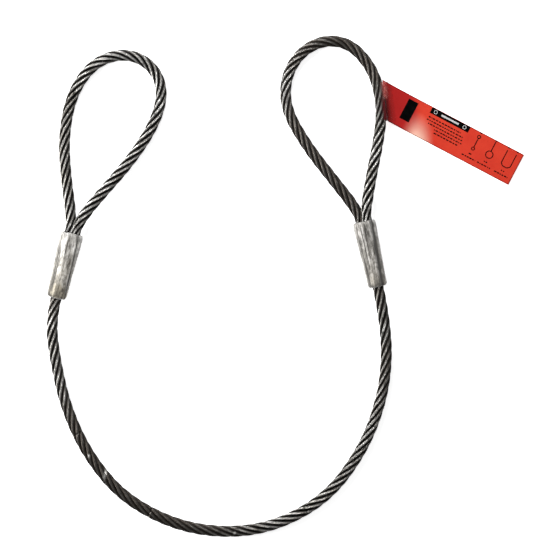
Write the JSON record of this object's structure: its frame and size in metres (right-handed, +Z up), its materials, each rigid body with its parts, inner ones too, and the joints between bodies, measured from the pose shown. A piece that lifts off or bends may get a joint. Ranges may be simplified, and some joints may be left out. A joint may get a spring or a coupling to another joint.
{
  "type": "wire rope sling",
  "caption": "Steel wire rope lifting sling with a soft teardrop eye pressed at each end and a red rating tag on one eye, lying in a U.",
  "frame": {"origin": "middle of the sling's footprint, on the surface that it lies on", "axes": "+Z up, away from that surface; +Y from the middle of the rope towards the two eyes; +X towards the eye that carries the tag"},
  "size_m": [0.3969, 0.4165, 0.0193],
  "materials": {
    "strand_wire": "satin",
    "core_wire": "satin",
    "pressed_sleeve": "satin",
    "tag_print": "gloss",
    "tag_film": "gloss"
  },
  "bodies": {
    "bight": {"bight_strands": "strand_wire", "bight_core": "core_wire", "left_knee_strands": "strand_wire", "left_knee_core": "core_wire", "right_knee_strands": "strand_wire", "right_knee_core": "core_wire"},
    "left_leg": {"left_leg_strands": "strand_wire", "left_leg_core": "core_wire", "left_neck_strands": "strand_wire", "left_neck_core": "core_wire"},
    "left_sleeve_end": {"left_sleeve": "pressed_sleeve", "left_live_line_strands": "strand_wire", "left_live_line_core": "core_wire", "left_splice_tails": "strand_wire", "left_eye_throat_strands": "strand_wire", "left_eye_throat_core": "core_wire"},
    "left_eye": {"left_eye_loop_strands": "strand_wire", "left_eye_loop_core": "core_wire"},
    "right_leg": {"right_leg_strands": "strand_wire", "right_leg_core": "core_wire", "right_neck_strands": "strand_wire", "right_neck_core": "core_wire"},
    "right_sleeve_end": {"right_sleeve": "pressed_sleeve", "right_live_line_strands": "strand_wire", "right_live_line_core": "core_wire", "right_splice_tails": "strand_wire", "right_eye_throat_strands": "strand_wire", "right_eye_throat_core": "core_wire"},
    "right_eye": {"right_eye_loop_strands": "strand_wire", "right_eye_loop_core": "core_wire"},
    "tag": {"tag_panel": "tag_print", "tag_clear_tail": "tag_film"}
  },
  "joints": [
    {"name": "left_end_swing", "type": "hinge", "parent": "bight", "child": "left_leg", "pos_m": [-0.1485, -0.16, 0.00475], "axis": [0, 0, 1], "range_deg": [-8, 30], "stiffness_Nm_per_rad": 2.5, "deforming": ["left_knee_strands", "left_knee_core"]},
    {"name": "left_end_lift", "type": "hinge", "parent": "left_leg", "child": "left_sleeve_end", "pos_m": [-0.19295, -0.0443, 0.00775], "axis": [0.9958, 0.0921, 0], "range_deg": [0, 60], "stiffness_Nm_per_rad": 2.5, "deforming": ["left_neck_strands", "left_neck_core"]},
    {"name": "left_eye_fold", "type": "hinge", "parent": "left_sleeve_end", "child": "left_eye", "pos_m": [-0.1727, 0.0585, 0.0097], "axis": [0.9703, -0.2419, 0], "range_deg": [0, 25], "stiffness_Nm_per_rad": 12, "deforming": ["left_eye_throat_strands", "left_eye_throat_core"]},
    {"name": "right_end_swing", "type": "hinge", "parent": "bight", "child": "right_leg", "pos_m": [0.05, -0.156, 0.00475], "axis": [0, 0, -1], "range_deg": [-8, 30], "stiffness_Nm_per_rad": 2.5, "deforming": ["right_knee_strands", "right_knee_core"]},
    {"name": "right_end_lift", "type": "hinge", "parent": "right_leg", "child": "right_sleeve_end", "pos_m": [0.0829, -0.04155, 0.00775], "axis": [0.9963, 0.0864, 0], "range_deg": [0, 60], "stiffness_Nm_per_rad": 2.5, "deforming": ["right_neck_strands", "right_neck_core"]},
    {"name": "right_eye_fold", "type": "hinge", "parent": "right_sleeve_end", "child": "right_eye", "pos_m": [0.06135, 0.06835, 0.0097], "axis": [0.977, 0.213, 0], "range_deg": [0, 25], "stiffness_Nm_per_rad": 12, "deforming": ["right_eye_throat_strands", "right_eye_throat_core"]},
    {"name": "tag_swivel", "type": "hinge", "parent": "right_eye", "child": "tag", "pos_m": [0.07766, 0.15365, 0.0068], "axis": [0.1295, -0.9916, 0], "range_deg": [0, 150]}
  ]
}
